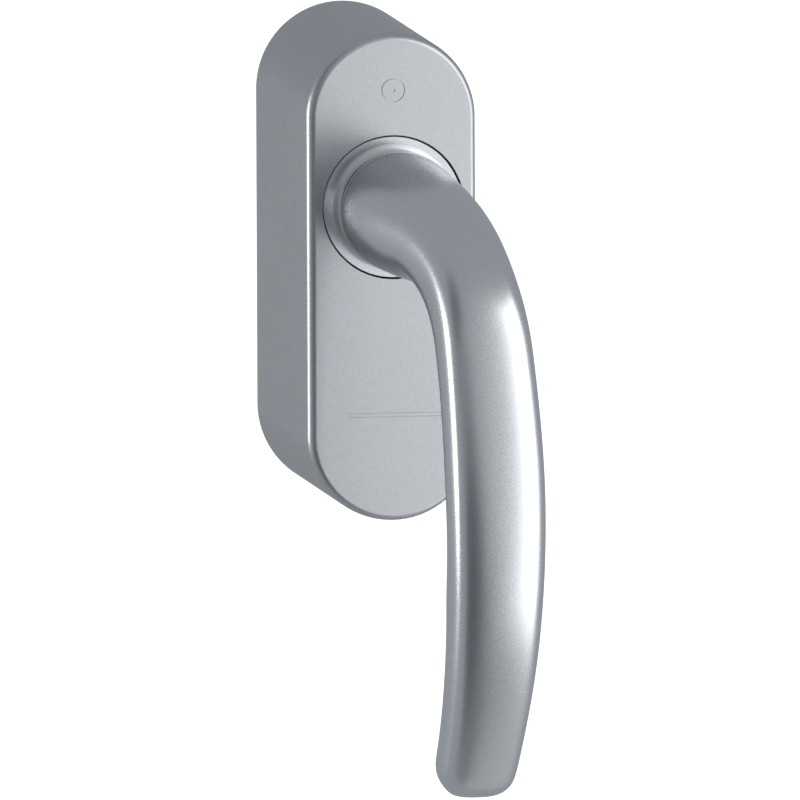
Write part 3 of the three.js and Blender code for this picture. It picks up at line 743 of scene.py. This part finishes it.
# %% The fixing screws
THREAD_PITCH = 0.8
THREAD_STEPS = 20  # steps in one turn
CORE_RADIUS = 2.0
THREAD_RADIUS = 2.45
HEAD_RADIUS = 4.6
RECESS_DEPTH = 1.6
RECESS_HALF_LENGTH, RECESS_HALF_WIDTH = 1.7, 0.45
SCREW_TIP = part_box("fixing_screw_upper")[1].y / MM
SCREW_HEAD = -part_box("fixing_screw_upper")[0].y / MM


def thread(length_from, length_to):
    """A helical ridge about the room axis between two depths in mm."""
    bm = bmesh.new()
    half, root = THREAD_PITCH * 0.4, CORE_RADIUS - 0.1
    corners = [bm.verts.new((r * MM, 0, (length_from + d) * MM))
               for r, d in ((root, -half), (THREAD_RADIUS, 0), (root, half))]
    start = bm.faces.new(corners)
    steps = int((length_to - length_from) / THREAD_PITCH * THREAD_STEPS)
    bmesh.ops.spin(bm, geom=[start, *start.edges, *start.verts], cent=(0, 0, 0), axis=(0, 0, 1), steps=steps,
                   dvec=(0, 0, THREAD_PITCH * MM / THREAD_STEPS), angle=2 * math.pi * steps / THREAD_STEPS)
    towards_room(bm)
    return bm


def fixing_screw(name, z):
    """A turned core with a cross recess and a thread, at a height z."""
    tip = -SCREW_TIP
    core = [(0, tip), (CORE_RADIUS * 0.7, tip), (CORE_RADIUS, tip + 1.2), (CORE_RADIUS, SCREW_HEAD - 2.7),
            (HEAD_RADIUS - 0.1, SCREW_HEAD - 0.35), (HEAD_RADIUS, SCREW_HEAD - 0.2),
            (HEAD_RADIUS - 0.15, SCREW_HEAD), (0, SCREW_HEAD)]
    piece = turned(name, core, steps=48)
    bottom, above = SCREW_HEAD - RECESS_DEPTH, SCREW_HEAD + 1
    slots = ((RECESS_HALF_WIDTH, RECESS_HALF_LENGTH), (RECESS_HALF_LENGTH, RECESS_HALF_WIDTH))
    combine(piece, *[box_piece("arm", (-x, bottom, -h), (x, above, h)) for x, h in slots])
    bm = thread(tip + 1.4, -1.5)
    ridge = bpy.data.meshes.new("ridge")
    bmesh.ops.recalc_face_normals(bm, faces=bm.faces)
    bm.to_mesh(ridge)
    bm.free()
    whole = bmesh.new()
    whole.from_mesh(piece.data)
    whole.from_mesh(ridge)
    bmesh.ops.translate(whole, verts=whole.verts, vec=(0, 0, z))
    whole.to_mesh(piece.data)
    whole.free()
    piece.data.shade_smooth()
    piece.data.set_sharp_from_angle(angle=math.radians(30))
    return piece


screws = [fixing_screw(name, side * SCREW_SPREAD) for name, side in (("upper_screw", 1), ("lower_screw", -1))]
print("screws:", [(screw.name, len(screw.data.polygons)) for screw in screws])


# %% [markdown]
# ### The spindle
# The spindle is a length of bright drawn square bar. A cube stretched to the bar's size gets a bevel on
# its long edges for the drawn corners, and a bigger one at its ends, where it was chamfered to enter the
# gear easily. Bevelling by edge direction keeps the two apart.

# %% The square bar
BAR_LOW, BAR_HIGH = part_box("square_spindle")
END_CHAMFER = 0.8 * MM
CORNER_ROUNDING = 0.35 * MM


def square_bar():
    """The bar, with chamfered ends and rounded long corners."""
    bm = bmesh.new()
    size, centre = BAR_HIGH - BAR_LOW, (BAR_HIGH + BAR_LOW) / 2
    bmesh.ops.create_cube(bm, size=1, matrix=Matrix.LocRotScale(centre, None, size))
    ends = [e for e in bm.edges if abs(e.verts[0].co.y - e.verts[1].co.y) < 1e-6]
    bmesh.ops.bevel(bm, geom=ends, offset=END_CHAMFER, offset_type="OFFSET", affect="EDGES", segments=1,
                    profile=0.5, material=-1)
    longs = [e for e in bm.edges if abs(e.verts[0].co.y - e.verts[1].co.y) > 20 * MM]
    bmesh.ops.bevel(bm, geom=longs, offset=CORNER_ROUNDING, offset_type="OFFSET", affect="EDGES", segments=3,
                    profile=0.5, material=-1)
    return finish_mesh(bm, "spindle_bar")


bar = square_bar()
combine(bar, pin_hole_cutter())
print("bar in mm:", [round(side / MM, 1) for side in bar.dimensions])


# %% [markdown]
# ## The other finishes
# The hidden parts are zinc castings, plated and spring steel, two plastics, a circuit board and copper.
# Each gets its own recipe from the same grain group: metals differ in tint, gloss and the size of the
# grain, plastics have a low, even sheen with a faint mould texture. Flat colours would look like
# plastic toys as soon as the cover is off.

# %% Metals
ZINC_CASTING = grained_metal("zinc_casting", (0.36, 0.37, 0.39), (0.50, 0.51, 0.53), 0.48, 1500.0, 0.8)
ZINC_PLATED = grained_metal("zinc_plated_steel", (0.58, 0.60, 0.62), (0.70, 0.72, 0.74), 0.26, 2600.0, 0.2)
SPRING_STEEL = grained_metal("spring_steel", (0.44, 0.44, 0.45), (0.56, 0.56, 0.57), 0.24, 3200.0, 0.15)
MAGNET = grained_metal("nickel_plated_magnet", (0.42, 0.42, 0.43), (0.52, 0.52, 0.53), 0.2, 1800.0, 0.15)
COPPER = grained_metal("enamelled_copper", (0.50, 0.20, 0.09), (0.66, 0.30, 0.15), 0.3, 2500.0, 0.2)


# %% Plastics
MOULD_TEXTURE = 2200.0


def moulded_plastic(name, dark, light, roughness, depth):
    """A plastic with a fine mould texture and a slightly uneven sheen."""
    material, tree, shader = new_material(name)
    grain = add_group(tree, GRAIN, Scale=MOULD_TEXTURE, Depth=depth)
    tree.links.new(tint(tree, spread(tree, grain.outputs["Value"], 0.3, 0.7, 0.0, 1.0), dark, light),
                   shader.inputs["Base Color"])
    tree.links.new(spread(tree, grain.outputs["Value"], 0.3, 0.7, roughness - 0.05, roughness + 0.05),
                   shader.inputs["Roughness"])
    tree.links.new(grain.outputs["Normal"], shader.inputs["Normal"])
    return material


ACETAL = moulded_plastic("natural_acetal", (0.72, 0.70, 0.64), (0.80, 0.78, 0.73), 0.42, 0.3)
BLACK_PLASTIC = moulded_plastic("black_glass_filled_plastic", (0.022, 0.022, 0.025), (0.045, 0.045, 0.05),
                                0.5, 0.6)
CHIP_RESIN = moulded_plastic("chip_resin", (0.014, 0.014, 0.016), (0.026, 0.026, 0.028), 0.38, 0.4)


# %% [markdown]
# ### Winding and circuit board
# The coil is wound with hair-thin enamelled wire, so its bump is a fine wave along the coil's axis. The
# same wave paints shade into the copper's colour between the turns and a painted highlight on their
# crowns. The board's copper tracks show through green lacquer as slightly lighter lines: a brick pattern
# with thin joints makes right-angled tracks of the right width without an image.

# %% Copper winding and green board
WIRE_SCALE = 1400.0
WIRE_HEIGHT = 0.05 * MM
TRACK_SCALE = 260.0
TRACK_WIDTH = 0.03  # as a share of one brick


def wound_copper():
    """Wire lying turn by turn, as bands of gloss and height, and colour bands of painted shade and highlight.
    """
    material, tree, shader = new_material("copper_winding", Metallic=1.0)
    coords = tree.nodes.new("ShaderNodeTexCoord").outputs["Object"]
    wave = tree.nodes.new("ShaderNodeTexWave")
    wave.bands_direction = "Z"
    wave.inputs["Scale"].default_value = WIRE_SCALE
    tree.links.new(coords, wave.inputs["Vector"])
    # the darker colour is painted shade between the turns, the lighter one a painted highlight on their
    # crowns
    turns_with_painted_shade = tint(tree, wave.outputs["Fac"], (0.30, 0.11, 0.05), (0.70, 0.33, 0.17))
    tree.links.new(turns_with_painted_shade, shader.inputs["Base Color"])
    tree.links.new(spread(tree, wave.outputs["Fac"], 0.0, 1.0, 0.45, 0.28), shader.inputs["Roughness"])
    bump = tree.nodes.new("ShaderNodeBump")
    bump.inputs["Distance"].default_value = WIRE_HEIGHT
    bump.inputs["Strength"].default_value = 0.8
    tree.links.new(wave.outputs["Fac"], bump.inputs["Height"])
    tree.links.new(bump.outputs["Normal"], shader.inputs["Normal"])
    return material


def green_board():
    """Green lacquer over slightly lighter tracks, with a clear coat."""
    material, tree, shader = new_material("green_board", Coat_Weight=0.5, Coat_Roughness=0.12)
    coords = tree.nodes.new("ShaderNodeTexCoord").outputs["Object"]
    turn = tree.nodes.new("ShaderNodeMapping")
    turn.inputs["Rotation"].default_value = (math.pi / 2, 0, 0)
    tree.links.new(coords, turn.inputs["Vector"])
    tracks = tree.nodes.new("ShaderNodeTexBrick")
    tracks.inputs["Scale"].default_value = TRACK_SCALE
    tracks.inputs["Mortar Size"].default_value = TRACK_WIDTH
    tracks.inputs["Mortar Smooth"].default_value = 0.2
    tree.links.new(turn.outputs["Vector"], tracks.inputs["Vector"])
    grain = add_group(tree, GRAIN, Scale=900.0, Depth=0.2)
    cloudy = spread(tree, grain.outputs["Value"], 0.3, 0.7, 0.0, 1.0)
    lacquer = tint(tree, cloudy, (0.010, 0.085, 0.035), (0.016, 0.115, 0.05))
    with_tracks = tint(tree, tracks.outputs["Fac"], lacquer, (0.045, 0.22, 0.10))
    tree.links.new(with_tracks, shader.inputs["Base Color"])
    tree.links.new(spread(tree, grain.outputs["Value"], 0.3, 0.7, 0.3, 0.42), shader.inputs["Roughness"])
    tree.links.new(grain.outputs["Normal"], shader.inputs["Normal"])
    return material


COPPER_WINDING = wound_copper()
GREEN_BOARD = green_board()
print("materials so far:", len(bpy.data.materials))


# %% [markdown]
# ### Handing the finishes out
# The new pieces take their bodies and stand in for their solids. The solids that are already right, such
# as the click stops and the sensor, keep their shape and only get a material. They could be named one by
# one, but one table by material makes it easy to see that none is left out.

# %% Give every part its finish
place(plate, "housing", ZINC_CASTING, "base_plate")
place(screws[0], "housing", ZINC_PLATED, "fixing_screw_upper")
place(screws[1], "housing", ZINC_PLATED, "fixing_screw_lower")
place(bar, "handle", ZINC_PLATED, "square_spindle")

KEPT_PARTS = {
    ZINC_CASTING: ("click_housing",),
    ZINC_PLATED: ("board_screw_left", "board_screw_right"),
    SPRING_STEEL: ("cover_clip_left", "cover_clip_right", "spindle_pin", "retaining_ring", "click_disc",
                   "click_pin_left", "click_pin_right", "click_spring_left", "click_spring_right",
                   "converter_tongue", "tongue_pin", "converter_core"),
    ACETAL: ("guide_bush", "friction_washer", "coding_slide"),
    BLACK_PLASTIC: ("coding_cam", "converter_case", "capacitor_left", "capacitor_right"),
    CHIP_RESIN: ("radio_chip",),
    MAGNET: ("position_magnet", "converter_magnet"),
    COPPER: ("antenna",),
    COPPER_WINDING: ("converter_coil",),
    GREEN_BOARD: ("circuit_board",),
}
for material, nodes in KEPT_PARTS.items():
    for node in nodes:
        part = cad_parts[node]
        part.data.materials.clear()
        part.data.materials.append(material)
print("kept parts with a finish:", sum(len(nodes) for nodes in KEPT_PARTS.values()))


# %% [markdown]
# ## Light
# Satin metal shows its surroundings, so the light is mostly about what it reflects. A wide soft box on
# the right draws the broad bright band down the grip, and a smaller one on the left draws the fine line
# along its edge. Area lights do this well, because they also have a real distance: the flat face then
# shades slowly from one end to the other. A box is given by the radiance that the metal will reflect,
# from which its power follows.

# %% Soft boxes
LIT_POINT = Vector((0, -0.03, -0.04))


def direction(azimuth, elevation):
    """The direction to an azimuth (0 is in front, positive to the right) and an elevation in degrees."""
    a, e = math.radians(azimuth), math.radians(elevation)
    return Vector((math.sin(a) * math.cos(e), -math.cos(a) * math.cos(e), math.sin(e)))


def soft_box(name, azimuth, elevation, distance, width, height, radiance):
    """An area light that looks at the handle from a direction."""
    back = direction(azimuth, elevation)
    data = bpy.data.lights.new(name, "AREA")
    data.shape, data.size, data.size_y = "RECTANGLE", width, height
    data.energy = radiance * math.pi * width * height
    light = bpy.data.objects.new(name, data)
    light.location = LIT_POINT + back * distance
    light.rotation_mode = "QUATERNION"
    light.rotation_quaternion = back.to_track_quat("Z", "Y")
    light.visible_camera = False
    bpy.context.scene.collection.objects.link(light)
    print(f"{name}: {data.energy:.2f} W")


soft_box("right_soft_box", azimuth=47, elevation=-3, distance=0.7, width=0.42, height=0.76, radiance=1.45)
soft_box("left_strip", azimuth=-103, elevation=-8, distance=1.0, width=0.44, height=0.40, radiance=4.0)


# %% [markdown]
# ### The room
# Everything that is not a lamp is a calm, slightly blue grey. A photographer also stands black cards
# near the camera, so that the metal gets dark strokes that show its form, and pale ones where a shadow is
# too deep. The world is the far room, so the cards are drawn into it: the dot product of the view
# direction and a card's direction is a round mask, which a Map Range softens. Real planes would do the
# same, but they could show in the picture. The camera itself sees plain white, through Light Path.

# %% World
ROOM_COLOUR = (0.316, 0.333, 0.354)
FILL_COLOUR = (0.40, 0.415, 0.43)
GLOW_COLOUR = (0.45, 0.465, 0.48)
CARD_COLOUR = (0.095, 0.105, 0.115)
HIGH_CARD_SHARE, TABLE_CARD_SHARE = 0.75, 0.65  # how dark these cards are, next to the low card


def card_mask(tree, coords, azimuth, elevation, core, edge):
    """1 within core degrees of a direction, falling to 0 at edge degrees."""
    dot = tree.nodes.new("ShaderNodeVectorMath")
    dot.operation = "DOT_PRODUCT"
    dot.inputs[1].default_value = direction(azimuth, elevation)
    tree.links.new(coords, dot.inputs[0])
    outer, inner = math.cos(math.radians(edge)), math.cos(math.radians(core))
    mask = spread(tree, dot.outputs["Value"], outer, inner, 0.0, 1.0)
    mask.node.interpolation_type = "SMOOTHSTEP"
    return mask


def make_world():
    """A grey room with cards in it for the metal, and plain white for the camera."""
    world = bpy.data.worlds.new("studio")
    bpy.context.scene.world = world
    world.use_nodes = True
    tree = world.node_tree
    felt = tree.nodes["Background"]
    coords = tree.nodes.new("ShaderNodeTexCoord").outputs["Generated"]
    fill = card_mask(tree, coords, azimuth=22, elevation=8, core=10, edge=38)
    room = tint(tree, fill, ROOM_COLOUR, FILL_COLOUR)
    glow = card_mask(tree, coords, azimuth=58, elevation=-44, core=4, edge=30)
    room = tint(tree, glow, room, GLOW_COLOUR)
    low_card = card_mask(tree, coords, azimuth=-16, elevation=-27, core=7, edge=36)
    high_card = card_mask(tree, coords, azimuth=-46, elevation=24, core=2, edge=30)
    table_card = card_mask(tree, coords, azimuth=8, elevation=-43, core=3, edge=26)
    cards = maths(tree, "MAXIMUM", low_card, maths(tree, "MULTIPLY", high_card, HIGH_CARD_SHARE))
    cards = maths(tree, "MAXIMUM", cards, maths(tree, "MULTIPLY", table_card, TABLE_CARD_SHARE))
    tree.links.new(tint(tree, cards, room, CARD_COLOUR), felt.inputs["Color"])
    seen = tree.nodes.new("ShaderNodeBackground")
    seen.inputs["Color"].default_value = (1, 1, 1, 1)
    mix = tree.nodes.new("ShaderNodeMixShader")
    tree.links.new(tree.nodes.new("ShaderNodeLightPath").outputs["Is Camera Ray"], mix.inputs["Fac"])
    tree.links.new(felt.outputs[0], mix.inputs[1])
    tree.links.new(seen.outputs[0], mix.inputs[2])
    tree.links.new(mix.outputs[0], tree.nodes["World Output"].inputs["Surface"])
    bpy.context.scene.view_settings.view_transform = "Standard"


make_world()
print("world:", bpy.context.scene.world.name, "with", len(bpy.context.scene.world.node_tree.nodes), "nodes")


# %% [markdown]
# ### Floor
# The floor is a plain pale sheet well below the handle, lit so evenly that it reads as white paper. It is
# left out of the metal's reflections, because the room above already holds what the metal should show.

# %% Floor
FLOOR_DROP = 0.6
FLOOR_HALF_SIZE = 6


def make_floor():
    """A pale square sheet, out of the metal's reflections."""
    bm = bmesh.new()
    bmesh.ops.create_grid(bm, x_segments=1, y_segments=1, size=FLOOR_HALF_SIZE,
                          matrix=Matrix.Translation((0, 0, CAD_BOX[0].z - FLOOR_DROP)))
    floor = finish_mesh(bm, "floor")
    material = new_material("pale_floor", Base_Color=(0.9, 0.9, 0.9, 1), Roughness=0.9,
                            Emission_Color=(1, 1, 1, 1), Emission_Strength=1.0)[0]
    floor.data.materials.append(material)
    floor.visible_glossy = floor.visible_diffuse = False


make_floor()
print("floor", round(FLOOR_DROP, 2), "m below the handle")


# %% [markdown]
# ## Camera
# The handle was looked at from the left and above with a view camera: the film stays nearly parallel
# to the housing's face while the lens looks at it from the side, so the oval keeps its shape and all
# uprights stay parallel. A shift of the lens could do that too, but it would have to be several
# frames wide. Here the camera hangs on a stand whose back axis leans to the side, which is the same.

# %% The view camera
LOOK_LEFT, LOOK_DOWN = math.radians(26.7248), math.radians(17.3508)
FILM_TURN, FILM_TILT, FILM_ROLL = math.radians(-2.08), math.radians(0.46), math.radians(-0.44)
CAMERA_DISTANCE = 2.2964
LENS, FILM_WIDTH = 471.5, 36
AIM = Vector((12.82, 0, -49.91)) * MM


def make_camera():
    """The camera on its leaning stand."""
    back = Vector((-math.sin(LOOK_LEFT) * math.cos(LOOK_DOWN), -math.cos(LOOK_LEFT) * math.cos(LOOK_DOWN),
                   math.sin(LOOK_DOWN)))
    film = Vector((math.sin(FILM_TURN) * math.cos(FILM_TILT), -math.cos(FILM_TURN) * math.cos(FILM_TILT),
                   math.sin(FILM_TILT)))
    level = Vector((0, 0, 1)).cross(film).normalized()
    up = film.cross(level)
    right = level * math.cos(FILM_ROLL) + up * math.sin(FILM_ROLL)
    up = up * math.cos(FILM_ROLL) - level * math.sin(FILM_ROLL)
    stand = bpy.data.objects.new("camera_stand", None)
    bpy.context.scene.collection.objects.link(stand)
    data = bpy.data.cameras.new("camera")
    data.lens, data.sensor_width = LENS, FILM_WIDTH
    data.clip_start, data.clip_end = 0.1, 20
    camera = bpy.data.objects.new("camera", data)
    bpy.context.scene.collection.objects.link(camera)
    camera.parent = stand
    lean = Matrix((right, up, back)).transposed().to_4x4()
    lean.translation = AIM + back * CAMERA_DISTANCE
    camera.matrix_parent_inverse = lean
    bpy.context.scene.camera = camera


make_camera()
print("camera at", [round(c, 3) for c in AIM], "from", CAMERA_DISTANCE, "m")
